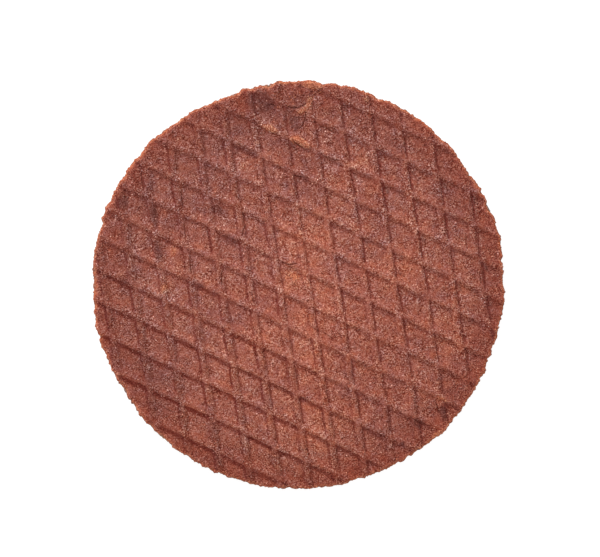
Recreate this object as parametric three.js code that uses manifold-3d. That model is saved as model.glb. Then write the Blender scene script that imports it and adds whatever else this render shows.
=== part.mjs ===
// Stroopwafel: two thin halves of one split wafer, pressed together over a layer of caramel syrup.
// Millimetres, +Z up. The origin is the middle of the underside, where the biscuit rests, and +Y
// points to the edge where the crust has torn. Both outer faces carry the rhombus grid of the iron.

import * as THREE from 'three';
import Module from 'manifold-3d';

const wasm = await Module();
wasm.setup();

// Thicknesses, from the table up.
const LOWER_WAFER_THICK = 2.4;
const SYRUP_THICK = 1.5;
const UPPER_WAFER_THICK = 2.3;
const SYRUP_BOTTOM = LOWER_WAFER_THICK;
const SYRUP_TOP = SYRUP_BOTTOM + SYRUP_THICK;
const OVERALL_THICK = SYRUP_TOP + UPPER_WAFER_THICK;

// The ring cutter that trims the wafer, and how the cut edge leans and rounds over.
const CUT_RADIUS = 43.9;
const EDGE_ROUND_WIDE = 0.7;
const EDGE_ROUND_DEEP = 0.45;
const EDGE_SPREAD = 0.2;
const EDGE_STEPS = 150;
const SIDE_CRUMBLE = 0.13;

// The iron's grid: two families of ridges that cross at a slant.
const RIDGE_PITCH = 6.15;
const RIDGE_FOOT_WIDE = 2.25;
const RIDGE_TOP_WIDE = 0.7;
const RIDGE_HIGH = 0.75;
const STEEP_NORMAL_DEG = 8.7;
const SHALLOW_NORMAL_DEG = 64.8;
const RIDGE_WANDER = 0.1;
const CRUST_BUMP = 0.05;

// Where the first ridge of each family passes, measured from the middle along the family's normal.
const UPPER_STEEP_START = 1.8;
const UPPER_SHALLOW_START = 3.25;

// The crust is worn along the cut edge, and torn open at the far side.
const WEAR_STARTS = 38;
const EDGE_WEAR = 0.3;
const TORN = { x: 1.2, y: 39.5, wide: 4.2, long: 5, wear: 0.6, sink: 0.35 };

// A gentle unevenness of the whole top face, from the way the two halves were pressed together.
const SWELL_HIGH = 0.1;
const SWELL_LONG = 17;

// Uneven places along each cut edge: where they lie, how wide they are, and how far they stand out.
const UPPER_EDGE = [
  { deg: 15, wide: 9, out: 0.45 },
  { deg: 35, wide: 4, out: -0.2 },
  { deg: 67, wide: 4, out: -0.25 },
  { deg: 83, wide: 4, out: -0.3 },
  { deg: 99, wide: 4, out: -0.4 },
  { deg: 111, wide: 7, out: -0.65 },
  { deg: 123, wide: 7, out: -0.3 },
  { deg: 138, wide: 4, out: 0.3 },
  { deg: 159, wide: 20, out: 0.45 },
  { deg: 193, wide: 8, out: 0.45 },
  { deg: 240, wide: 9, out: 0.2 },
  { deg: 288, wide: 24, out: -0.2 },
  { deg: 315, wide: 4, out: 0.45 },
  { deg: 339, wide: 4, out: -0.2 },
  { deg: 355, wide: 6, out: 0.3 },
];
const SYRUP_EDGE = [
  { deg: 25, wide: 10, out: 0.35 },
  { deg: 75, wide: 12, out: -0.4 },
  { deg: 112, wide: 10, out: -0.5 },
  { deg: 172, wide: 9, out: 0.5 },
  { deg: 232, wide: 14, out: 0.3 },
  { deg: 300, wide: 10, out: -0.35 },
  { deg: 330, wide: 8, out: 0.3 },
];
const LOWER_EDGE = [
  { deg: 50, wide: 12, out: -0.25 },
  { deg: 78, wide: 14, out: -0.35 },
  { deg: 113, wide: 14, out: -0.75 },
  { deg: 152, wide: 10, out: 0.2 },
  { deg: 175, wide: 6, out: 0.4 },
  { deg: 250, wide: 16, out: -0.3 },
  { deg: 290, wide: 12, out: -0.3 },
  { deg: 322, wide: 9, out: 0.2 },
];

// The syrup's edge is drawn in behind the wafers and bulges at its middle height, and the lower
// wafer was laid a little off centre.
const SYRUP_INSET = 0.5;
const SYRUP_BULGE = 0.3;
const LOWER_WAFER_SHIFT = -0.2;

// How far a cutting solid runs past what it cuts.
const CUT_PAST = 1;

const SEED = 1707;

// A small seeded generator, so that every run makes the same crumbly edges.
function seededRandom(seed) {
  let state = seed;
  return () => {
    state = (state * 1664525 + 1013904223) % 4294967296;
    return state / 4294967296;
  };
}

const random = seededRandom(SEED);
const jitter = (size) => (random() * 2 - 1) * size;
const smooth = (from, to, value) => THREE.MathUtils.smoothstep(value, from, to);

// Radius of a cut edge at an angle: the cutter's circle with the uneven places as soft bumps.
function edgeRadius(places, deg) {
  let radius = CUT_RADIUS;
  for (const { deg: centre, wide, out } of places) {
    const away = THREE.MathUtils.euclideanModulo(deg - centre + 180, 360) - 180;
    radius += out * Math.exp(-((away / wide) ** 2));
  }
  return radius;
}

// The outline as one closed loop of crumbly points, shifted along X.
function cutEdge(places, shiftX, crumble) {
  const points = [];
  for (let i = 0; i < EDGE_STEPS; i += 1) {
    const deg = (i * 360) / EDGE_STEPS;
    const angle = THREE.MathUtils.degToRad(deg);
    const radius = edgeRadius(places, deg) + jitter(crumble);
    points.push({ angle, radius, shiftX });
  }
  return points;
}

// A solid with the cut edge as its outline. Levels are [height, distance outside the outline].
function edgeSolid(edge, levels, crumble) {
  const vertices = [];
  const triangles = [];
  for (const [z, outside] of levels) {
    for (const { angle, radius, shiftX } of edge) {
      const r = radius + outside + jitter(crumble);
      vertices.push(shiftX + r * Math.cos(angle), r * Math.sin(angle), z);
    }
  }
  for (let level = 0; level + 1 < levels.length; level += 1) {
    for (let i = 0; i < EDGE_STEPS; i += 1) {
      const next = (i + 1) % EDGE_STEPS;
      const a = level * EDGE_STEPS + i;
      const b = level * EDGE_STEPS + next;
      triangles.push(a, b, b + EDGE_STEPS, a, b + EDGE_STEPS, a + EDGE_STEPS);
    }
  }
  const bottomMiddle = vertices.length / 3;
  const topMiddle = bottomMiddle + 1;
  const topRing = (levels.length - 1) * EDGE_STEPS;
  vertices.push(edge[0].shiftX, 0, levels[0][0]);
  vertices.push(edge[0].shiftX, 0, levels[levels.length - 1][0]);
  for (let i = 0; i < EDGE_STEPS; i += 1) {
    const next = (i + 1) % EDGE_STEPS;
    triangles.push(bottomMiddle, next, i);
    triangles.push(topMiddle, topRing + i, topRing + next);
  }
  return solid(vertices, triangles);
}

function solid(vertices, triangles) {
  return new wasm.Manifold(new wasm.Mesh({
    numProp: 3,
    vertProperties: new Float32Array(vertices),
    triVerts: new Uint32Array(triangles),
  }));
}

// Distances along a family's normal where the section of the ridges bends: foot, top, top, foot.
function ridgeBends(start, reach) {
  const bends = [];
  const first = Math.ceil((-reach - start) / RIDGE_PITCH);
  const last = Math.floor((reach - start) / RIDGE_PITCH);
  for (let n = first; n <= last; n += 1) {
    const centre = start + n * RIDGE_PITCH;
    bends.push({ at: centre - RIDGE_FOOT_WIDE / 2, onTop: false });
    bends.push({ at: centre - RIDGE_TOP_WIDE / 2, onTop: true });
    bends.push({ at: centre + RIDGE_TOP_WIDE / 2, onTop: true });
    bends.push({ at: centre + RIDGE_FOOT_WIDE / 2, onTop: false });
  }
  return bends;
}

// The point that lies at distance a along the first normal and b along the second.
function crossing(firstDeg, secondDeg, a, b) {
  const first = THREE.MathUtils.degToRad(firstDeg);
  const second = THREE.MathUtils.degToRad(secondDeg);
  const turn = Math.sin(second - first);
  return {
    x: (a * Math.sin(second) - b * Math.sin(first)) / turn,
    y: (b * Math.cos(first) - a * Math.cos(second)) / turn,
  };
}

// One face of the iron as a slab: the ridge grid on the outside, plain at plainZ on the inside.
// height(x, y, onTop) gives the outer face, and side is 1 where that face looks up, -1 where down.
function gridSlab({ firstDeg, secondDeg, firstStart, secondStart, wander, height, plainZ, side }) {
  const reach = CUT_RADIUS + 2 * RIDGE_PITCH;
  const columns = ridgeBends(firstStart, reach);
  const rows = ridgeBends(secondStart, reach);
  const vertices = [];
  const triangles = [];
  const push = (...corners) => triangles.push(...(side > 0 ? corners : corners.reverse()));
  for (const row of rows) {
    for (const column of columns) {
      const place = crossing(firstDeg, secondDeg, column.at, row.at);
      const x = place.x + jitter(wander);
      const y = place.y + jitter(wander);
      vertices.push(x, y, height(x, y, row.onTop || column.onTop));
    }
  }
  const wide = columns.length;
  const high = rows.length;
  for (let j = 0; j + 1 < high; j += 1) {
    for (let i = 0; i + 1 < wide; i += 1) {
      const a = j * wide + i;
      const [b, c, d] = [a + 1, a + wide + 1, a + wide];
      // The fold of an inside corner runs from the pocket's floor up to the ridge crossing.
      const risesAlongAC = rows[j].onTop === columns[i].onTop;
      if (risesAlongAC) {
        push(a, b, c);
        push(a, c, d);
      } else {
        push(a, b, d);
        push(b, c, d);
      }
    }
  }
  const loop = [];
  for (let i = 0; i + 1 < wide; i += 1) loop.push(i);
  for (let j = 0; j + 1 < high; j += 1) loop.push(j * wide + wide - 1);
  for (let i = wide - 1; i > 0; i -= 1) loop.push((high - 1) * wide + i);
  for (let j = high - 1; j > 0; j -= 1) loop.push(j * wide);
  const rim = vertices.length / 3;
  for (const index of loop) vertices.push(vertices[index * 3], vertices[index * 3 + 1], plainZ);
  const middle = vertices.length / 3;
  vertices.push(0, 0, plainZ);
  loop.forEach((index, k) => {
    const next = (k + 1) % loop.length;
    push(index, rim + k, rim + next);
    push(index, rim + next, loop[next]);
    push(middle, rim + next, rim + k);
  });
  return solid(vertices, triangles);
}

// Share of the iron's relief that is left: full inside, worn along the edge and where it has torn.
function reliefLeft(x, y) {
  const edge = EDGE_WEAR * smooth(WEAR_STARTS, CUT_RADIUS, Math.hypot(x, y));
  return (1 - edge) * (1 - TORN.wear * torn(x, y));
}

function torn(x, y) {
  return Math.exp(-(((x - TORN.x) / TORN.wide) ** 2) - ((y - TORN.y) / TORN.long) ** 2);
}

function swell(x, y) {
  return SWELL_HIGH * (Math.sin(x / SWELL_LONG + 1) + Math.cos(y / SWELL_LONG - x / (2 * SWELL_LONG)));
}

// Upper wafer: ridges up, its plain cut face down on the syrup.
function upperWafer() {
  const floorZ = OVERALL_THICK - RIDGE_HIGH;
  const grid = gridSlab({
    firstDeg: STEEP_NORMAL_DEG,
    secondDeg: SHALLOW_NORMAL_DEG,
    firstStart: UPPER_STEEP_START,
    secondStart: UPPER_SHALLOW_START,
    wander: RIDGE_WANDER,
    plainZ: SYRUP_TOP - CUT_PAST,
    side: 1,
    height: (x, y, onTop) => {
      const rise = onTop ? RIDGE_HIGH * reliefLeft(x, y) : 0;
      return floorZ + rise + swell(x, y) - TORN.sink * torn(x, y) + jitter(CRUST_BUMP);
    },
  });
  const edge = cutEdge(UPPER_EDGE, 0, SIDE_CRUMBLE);
  const trim = edgeSolid(edge, [
    [SYRUP_TOP, 0],
    [OVERALL_THICK - EDGE_ROUND_DEEP - RIDGE_HIGH / 2, EDGE_SPREAD],
    [OVERALL_THICK + EDGE_ROUND_DEEP, -EDGE_ROUND_WIDE],
    [OVERALL_THICK + CUT_PAST, -EDGE_ROUND_WIDE],
  ], 0);
  return grid.intersect(trim);
}

// Syrup: a full disc between the halves, pressed out in places and drawn in at others.
function syrup() {
  const edge = cutEdge(SYRUP_EDGE, 0, SIDE_CRUMBLE);
  return edgeSolid(edge, [
    [SYRUP_BOTTOM, -SYRUP_INSET],
    [SYRUP_BOTTOM + SYRUP_THICK / 3, SYRUP_BULGE - SYRUP_INSET],
    [SYRUP_TOP - SYRUP_THICK / 3, SYRUP_BULGE - SYRUP_INSET],
    [SYRUP_TOP, -SYRUP_INSET],
  ], SIDE_CRUMBLE);
}

// Lower wafer: the other face of the same iron, so its grid is the mirror image. The ridge tops
// are level, because the biscuit lies on them, and two ridges cross at the middle.
function lowerWafer() {
  const grid = gridSlab({
    firstDeg: 180 - SHALLOW_NORMAL_DEG,
    secondDeg: 180 - STEEP_NORMAL_DEG,
    firstStart: 0,
    secondStart: 0,
    wander: 0,
    plainZ: SYRUP_BOTTOM + CUT_PAST,
    side: -1,
    height: (x, y, onTop) => (onTop ? 0 : RIDGE_HIGH),
  });
  const edge = cutEdge(LOWER_EDGE, LOWER_WAFER_SHIFT, SIDE_CRUMBLE);
  const trim = edgeSolid(edge, [
    [-CUT_PAST, -EDGE_ROUND_WIDE],
    [0, -EDGE_ROUND_WIDE],
    [EDGE_ROUND_DEEP + RIDGE_HIGH / 2, 0],
    [SYRUP_BOTTOM, EDGE_SPREAD],
  ], 0);
  return grid.intersect(trim);
}

// A named mesh from a manifold solid.
function piece(name, shape, material) {
  const { vertProperties, triVerts } = shape.getMesh();
  const geometry = new THREE.BufferGeometry();
  geometry.setAttribute('position', new THREE.BufferAttribute(vertProperties, 3));
  geometry.setIndex(new THREE.BufferAttribute(triVerts, 1));
  const mesh = new THREE.Mesh(geometry, material);
  mesh.name = name;
  return mesh;
}

const BAKED_CRUST = new THREE.MeshStandardMaterial({
  color: 0x935649,
  roughness: 0.85,
  metalness: 0,
  flatShading: true,
});

const SYRUP_CARAMEL = new THREE.MeshStandardMaterial({
  color: 0x6b3a26,
  roughness: 0.4,
  metalness: 0,
  flatShading: true,
});

const stroopwafel = new THREE.Group();
stroopwafel.name = 'stroopwafel';
stroopwafel.add(
  piece('bottom_wafer', lowerWafer(), BAKED_CRUST.clone()),
  piece('syrup', syrup(), SYRUP_CARAMEL),
  piece('top_wafer', upperWafer(), BAKED_CRUST.clone()),
);

export default stroopwafel;
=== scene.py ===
"""A stroopwafel: two halves of one split wafer, pressed together over caramel syrup.

The three solids of the frame give the heights of the layers. Each is replaced here by a fine
surface: the wafers with the iron's grid, a crumbly cut edge and the grain of the baked crust.
"""

import bmesh
import bpy
import numpy as np
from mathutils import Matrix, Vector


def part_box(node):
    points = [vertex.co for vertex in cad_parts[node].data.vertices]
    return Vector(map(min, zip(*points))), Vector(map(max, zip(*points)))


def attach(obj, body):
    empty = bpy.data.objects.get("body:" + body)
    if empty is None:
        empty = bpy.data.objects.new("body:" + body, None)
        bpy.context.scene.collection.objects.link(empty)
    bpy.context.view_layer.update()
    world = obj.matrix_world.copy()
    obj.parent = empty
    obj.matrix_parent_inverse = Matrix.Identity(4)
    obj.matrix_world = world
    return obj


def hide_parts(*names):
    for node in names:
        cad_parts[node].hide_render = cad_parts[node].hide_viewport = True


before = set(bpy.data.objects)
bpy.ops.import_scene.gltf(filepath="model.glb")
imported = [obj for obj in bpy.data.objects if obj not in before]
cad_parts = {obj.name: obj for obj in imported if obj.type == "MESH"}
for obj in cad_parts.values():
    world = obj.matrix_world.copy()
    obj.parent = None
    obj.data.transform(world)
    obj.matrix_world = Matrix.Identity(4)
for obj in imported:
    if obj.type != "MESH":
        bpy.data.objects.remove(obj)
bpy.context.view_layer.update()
mm = 0.001  # lengths are in metres

# ======================================================================
# Lower wafer. One half of a thin wafer that was baked in a ridged iron and split while warm.
# It lies with its baked face down, so the ridges of the grid are its feet, and the split face
# is under the syrup. A ring cutter has trimmed both halves, which leaves an open, crumbly edge.

# The ring cutter, the section of the edge that it leaves, and the crumbs torn out along it and down
# the cut, which draws in a little at the split face.
cut_radius = 43.9 * mm
edge_round_wide = 0.8 * mm
edge_round_deep = 0.5 * mm
edge_spread = 0.2 * mm
edge_ragged = 0.21 * mm
edge_crumb_long = 1.5 * mm
cut_crumb_long = 0.9 * mm
cut_ragged = 0.16 * mm
cut_tuck = 0.25 * mm

# The iron's grid: pitch across the ridges, and the two families' normals in degrees.
ridge_pitch = 6.15 * mm
steep_normal_deg = 8.72
shallow_normal_deg = 64.8
ridge_high = 0.62 * mm

# Section of a ridge: half its flat top, then how far its foot is from the middle on the side that
# the normal points away from, and on the side that it points to, which is the flatter one.
steep_section = (0.25 * mm, 1.1 * mm, 1.15 * mm)
shallow_section = (0.2 * mm, 1.2 * mm, 1.5 * mm)
crease_deep = 0.055 * mm
crease_wide = 0.22 * mm

# How the dough departs from the iron: ridges that waver over a long and a short way and keep most
# of their height, in some stretches more than in others, and lumps and grain on the face.
waver = 0.1 * mm
waver_long = 9 * mm
waver_short = 2.2 * mm
ridge_left = 0.88
ridge_wear = 0.14
wear_long = 0.7 * ridge_pitch
lump_high = 0.05 * mm
lump_wide = 2.6 * mm
grain_high = 0.04 * mm
grain_wide = 1.0 * mm

# The dough swells in the pockets. Each lies a bit askew and is toasted a bit more or less. The draws
# for pockets and stretches of ridge repeat after so many, and a noise net after so many knots.
pocket_swell = 0.1 * mm
pocket_slope = 0.04
pocket_toast = 0.06
pocket_kinds = 40
noise_knots = 509

# The net of the surface: points across the face, how much closer they are on the ridges once they
# are so far in from the cut, and rows over the rounded rim and down the cut side.
net_count = 242
net_pull = 0.35
net_calm = 3 * mm
rim_rows = 5
side_rows = 13

# A grid is the directions of the normals of its steep and its shallow ridges, and how far along
# them from the middle a ridge lies. The lower face's directions are the upper one's in a mirror.
lower_grid = (180 - steep_normal_deg, 180 - shallow_normal_deg, 0, 0)
lower_shift = -0.2 * mm
lower_edge_places = [
    # degrees round from +X, half width in degrees, how far it stands out in mm
    (50, 12, -0.25),
    (78, 14, -0.35),
    (113, 14, -0.75),
    (152, 10, 0.2),
    (175, 6, 0.4),
    (250, 16, -0.3),
    (290, 12, -0.3),
    (322, 9, 0.2),
]


def smooth_step(low, high, value):
    """0 below low, 1 above high, and 3t^2 - 2t^3 of the way between them."""
    t = np.clip((value - low) / (high - low), 0, 1)
    return t * t * (3 - 2 * t)


def net_noise(x, y, size, seed):
    """Random heights from -1 to 1 at the knots of a square net of that size, blended between the
    four knots round a point by the smooth step of its place. The seed also turns the net."""
    draw = np.random.default_rng(seed)
    turn = draw.uniform(0, np.pi)
    knots = draw.uniform(-1, 1, (noise_knots, noise_knots))
    a = (x * np.cos(turn) + y * np.sin(turn)) / size
    b = (y * np.cos(turn) - x * np.sin(turn)) / size
    column, row = np.floor(a).astype(int), np.floor(b).astype(int)
    s, t = smooth_step(0, 1, a - column), smooth_step(0, 1, b - row)

    def knot(right, up):
        return knots[(column + right) % noise_knots, (row + up) % noise_knots]

    near = knot(0, 0) * (1 - s) + knot(1, 0) * s
    far = knot(0, 1) * (1 - s) + knot(1, 1) * s
    return near * (1 - t) + far * t


def crumble(x, y, size, seed, layers=3, keep=0.55):
    """Nets on top of each other, each half the size of the last and keep times its height."""
    total = 0
    for layer in range(layers):
        total = total + keep**layer * net_noise(x, y, size / 2**layer, seed + 31 * layer)
    return total


def round_point(radius, angle):
    """x and y of the point that far out at that angle."""
    return radius * np.cos(angle), radius * np.sin(angle)


def edge_radius(angle, places, seed):
    """Radius of the cut edge: the cutter's circle, a soft bump for each uneven place, and crumbs
    broken out along it, as noise read along the circle."""
    degrees = np.degrees(angle)
    radius = np.full(np.shape(angle), cut_radius)
    for centre, wide, out in places:
        away = (degrees - centre + 180) % 360 - 180
        radius = radius + out * mm * np.exp(-((away / wide) ** 2))
    x, y = round_point(cut_radius, angle)
    return radius + edge_ragged * crumble(x, y, edge_crumb_long, seed, 3, 0.8)


def ridge_distances(x, y, grid):
    """For the steep family and then the shallow one: the direction across its ridges, as a cosine
    and a sine, and how far a point lies that way from one of them."""
    steep_deg, shallow_deg, steep_start, shallow_start = grid
    for deg, start in ((steep_deg, steep_start), (shallow_deg, shallow_start)):
        across_x, across_y = np.cos(np.radians(deg)), np.sin(np.radians(deg))
        yield across_x, across_y, x * across_x + y * across_y - start


def ridge_phases(x, y, grid, seed):
    """How many pitches a point lies along each family's normal, with a whole number on a ridge.
    Noise shifts the point first, because no ridge comes out of the dough quite straight."""

    def shift(seed, next_seed):
        return waver * (net_noise(x, y, waver_long, seed) + crumble(x, y, waver_short, next_seed, 2))

    bent_x, bent_y = x + shift(seed, seed + 3), y + shift(seed + 7, seed + 9)
    return [distance / ridge_pitch for _, _, distance in ridge_distances(bent_x, bent_y, grid)]


def ridge_section(phase, section):
    """Height of the nearest ridge of a family as a share, and how far the point is out to its foot,
    also as a share. From the flat top the wall falls half straight and half in a smooth step."""
    half_top, foot_before, foot_after = section
    across = (phase - np.round(phase)) * ridge_pitch
    foot = np.where(across < 0, foot_before, foot_after)
    wall = np.clip((foot - np.abs(across)) / (foot - half_top), 0, 1)
    return 0.5 * wall + 0.5 * smooth_step(0, 1, wall), np.abs(across) / foot


def segment_draws(column, row, count, seed):
    """Random numbers from 0 to 1 for each stretch of ridge or pocket, known by two whole numbers."""
    draws = np.random.default_rng(seed).uniform(0, 1, (count, pocket_kinds, pocket_kinds))
    return draws[:, column.astype(int) % pocket_kinds, row.astype(int) % pocket_kinds]


def grid_relief(steep, shallow, x, y, seed):
    """The baked face over the pocket floors. The ridges are joined as 1 - (1 - a)(1 - b), each
    stretch worn by its own share. A bell-shaped groove runs along each foot. Each pocket's floor
    swells to its middle and has its own depth and slope. Noise on top gives lumps and grain."""
    share_a, out_a = ridge_section(steep, steep_section)
    share_b, out_b = ridge_section(shallow, shallow_section)
    along = steep * ridge_pitch, shallow * ridge_pitch
    wear_a = ridge_left + ridge_wear * net_noise(*along, wear_long, seed + 11)
    wear_b = ridge_left + ridge_wear * net_noise(*along, wear_long, seed + 12)
    share = 1 - (1 - wear_a * share_a) * (1 - wear_b * share_b)
    nearest = np.minimum(out_a, out_b)
    crease = np.exp(-(((nearest - 1) * shallow_section[1] / crease_wide) ** 2))
    crease = crease * (1 + 0.8 * net_noise(x, y, 2.5 * mm, seed + 13))
    floor = smooth_step(1, 2.6, nearest)
    column, row = np.floor(steep), np.floor(shallow)
    depth, slope_a, slope_b = 2 * segment_draws(column, row, 3, seed + 15) - 1
    askew = slope_a * (steep - column - 0.5) + slope_b * (shallow - row - 0.5)
    swelling = floor * (pocket_swell * (1 + 0.5 * depth) + pocket_slope * ridge_pitch * askew)
    lumps = lump_high * crumble(x, y, lump_wide, seed + 17, 2)
    grain = grain_high * crumble(x, y, grain_wide, seed + 19, 2)
    return ridge_high * share - crease_deep * crease + swelling + lumps + grain


def disc_net(count):
    """A round net as even as a square one. A point (a, b) of the square goes as far out as the
    larger of a and b, and turns by an eighth of a circle times the smaller over the larger."""
    a, b = np.meshgrid(np.linspace(-1, 1, count), np.linspace(-1, 1, count))
    wide = np.abs(a) > np.abs(b)
    out, other = np.where(wide, a, b), np.where(wide, b, a)
    share = np.divide(other, out, out=np.zeros_like(a), where=out != 0)
    angle = np.where(wide, share * np.pi / 4, np.pi / 2 - share * np.pi / 4)
    return round_point(out, angle)


def net_border(count):
    """Numbers of the border points of a square net, once round it against the clock."""
    numbers = np.arange(count * count).reshape(count, count)
    return np.concatenate([numbers[0, :-1], numbers[:-1, -1], numbers[-1, :0:-1], numbers[:0:-1, 0]])


def draw_to_ridges(x, y, grid, inward):
    """Points of the net moved towards the ridges, where the face bends most: along each family's
    normal by minus the sine of the phase, fading to nothing at the cut edge."""
    fade = net_pull * smooth_step(0, net_calm, inward) * ridge_pitch / (2 * np.pi)
    moved_x, moved_y = x, y
    for across_x, across_y, distance in ridge_distances(x, y, grid):
        pull = fade * np.sin(2 * np.pi * distance / ridge_pitch)
        moved_x, moved_y = moved_x - pull * across_x, moved_y - pull * across_y
    return moved_x, moved_y


def edge_rows(angle, places, thickness, relief, seed):
    """Rows of points over the rim, a quarter of an oval, and down the cut, which bulges by a sine,
    draws in by a cube and is torn by noise. Each row is x, y, height, and how far down it is: from
    0 to 1 over the rim, and from 1 to 2 down the cut."""
    cut = edge_radius(angle, places, seed)
    rows = []
    for row in range(1, rim_rows + 1):
        lean = np.pi / 2 * row / rim_rows
        radius = cut - edge_round_wide * (1 - np.sin(lean))
        x, y = round_point(radius, angle)
        height = relief(x, y) - edge_round_deep * (1 - np.cos(lean))
        rows.append((x, y, height, np.full_like(x, smooth_step(0.1, 1.1, row / rim_rows))))
    rim_height = height
    for row in range(1, side_rows + 1):
        down = row / side_rows
        height = rim_height * (1 - down) - thickness * down
        torn = crumble(cut_radius * angle, height, cut_crumb_long, seed + 23) * np.sin(np.pi * down) ** 0.5
        spread = edge_spread * np.sin(np.pi * (0.15 + 0.85 * down)) - cut_tuck * down**3
        radius = cut + spread + cut_ragged * torn
        rows.append((*round_point(radius, angle), height, np.full_like(height, 1 + down)))
    return rows


def wafer_faces(border):
    """Faces of a half wafer: quads on the round net and between the rows, triangles where the net's
    border meets the first row, which has twice its points, and in the fan over the split face."""
    cell = (np.arange(net_count - 1)[:, None] * net_count + np.arange(net_count - 1)).ravel()
    quads = [np.stack([cell, cell + 1, cell + net_count + 1, cell + net_count], 1)]
    ring = net_count**2 + np.arange(2 * len(border))
    even, odd, after = ring[::2], ring[1::2], np.roll(ring[::2], -1)
    border_after = np.roll(border, -1)
    thirds = (border, even, odd), (border, odd, border_after), (border_after, odd, after)
    fans = [np.stack(third, 1) for third in thirds]
    for _ in range(1, rim_rows + side_rows):
        below = ring + len(ring)
        quads.append(np.stack([ring, below, np.roll(below, -1), np.roll(ring, -1)], 1))
        ring = below
    middle = np.full(len(ring), ring[-1] + 1)
    fans.append(np.stack([ring, middle, np.roll(ring, -1)], 1))
    return np.concatenate(quads), np.concatenate(fans)


def wafer_half(places, shift, inner_z, outer_z, grid, relief, seed):
    """One half wafer as a closed net: the baked face on the round net, the edge rows, and the flat
    split face. relief(x, y) is the height of the baked face against outer_z. Gives points, quads,
    triangles, and what the crust reads: the phases of both families, how far in from the cut and
    down the side a point is, and a draw for each crease, foot and pocket."""
    unit_x, unit_y = disc_net(net_count)
    angle = np.arctan2(unit_y, unit_x).ravel()
    full = edge_radius(angle, places, seed)
    reach = (full - edge_round_wide) * np.hypot(unit_x, unit_y).ravel()
    x, y = round_point(reach, angle)
    x, y = draw_to_ridges(x, y, grid, full - edge_round_wide - reach)
    face = (x, y, relief(x, y), np.zeros_like(x))
    border = net_border(net_count)
    step = (np.roll(angle[border], -1) - angle[border]) % (2 * np.pi)
    round_angle = np.stack([angle[border], angle[border] + step / 2], 1).ravel()
    thickness = abs(outer_z - inner_z)
    middle = ([0.0], [0.0], [-thickness], [2.0])
    rows = [face, *edge_rows(round_angle, places, thickness, relief, seed), middle]
    x, y, height, side = (np.concatenate(parts) for parts in zip(*rows))
    facing = np.sign(outer_z - inner_z)
    points = np.stack([x + shift, y, outer_z + facing * height], 1)
    quads, fans = wafer_faces(border)
    if facing < 0:
        quads, fans = quads[:, ::-1], fans[:, ::-1]

    steep, shallow = ridge_phases(x, y, grid, seed)
    inward = np.clip(edge_radius(np.arctan2(y, x), places, seed) - np.hypot(x, y), 0, None) / mm
    right, left = segment_draws(np.round(steep), np.floor(shallow), 2, seed + 41)
    foot = segment_draws(np.floor(steep), np.round(shallow), 1, seed + 47)[0]
    pocket = segment_draws(np.floor(steep), np.floor(shallow), 1, seed + 53)[0]
    return points, quads, fans, {
        "steep": steep, "shallow": shallow, "inward": inward, "side": side,
        "right": right, "left": left, "foot": foot, "pocket": pocket_toast * (2 * pocket - 1),
    }


def in_scene(name, data):
    """An object with that mesh, lamp or camera, in the scene."""
    thing = bpy.data.objects.new(name, data)
    bpy.context.scene.collection.objects.link(thing)
    return thing


def surface(name, points, quads, triangles, smooth=True, **values):
    """A mesh piece from arrays of points, quads and triangles, with a value per point for each
    named attribute."""
    mesh = bpy.data.meshes.new(name)
    mesh.vertices.add(len(points))
    mesh.vertices.foreach_set("co", points.astype(np.float32).ravel())
    corners = np.concatenate([quads.ravel(), triangles.ravel()]).astype(np.int32)
    sizes = np.concatenate([np.full(len(quads), 4), np.full(len(triangles), 3)])
    starts = np.concatenate([[0], np.cumsum(sizes)[:-1]]).astype(np.int32)
    mesh.loops.add(len(corners))
    mesh.loops.foreach_set("vertex_index", corners)
    mesh.polygons.add(len(sizes))
    mesh.polygons.foreach_set("loop_start", starts)
    mesh.polygons.foreach_set("use_smooth", np.full(len(sizes), smooth))
    for attribute, value in values.items():
        layer = mesh.attributes.new(attribute, "FLOAT", "POINT")
        layer.data.foreach_set("value", value.astype(np.float32))
    mesh.update(calc_edges=True)
    mesh.validate()
    return in_scene(name, mesh)


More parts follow.
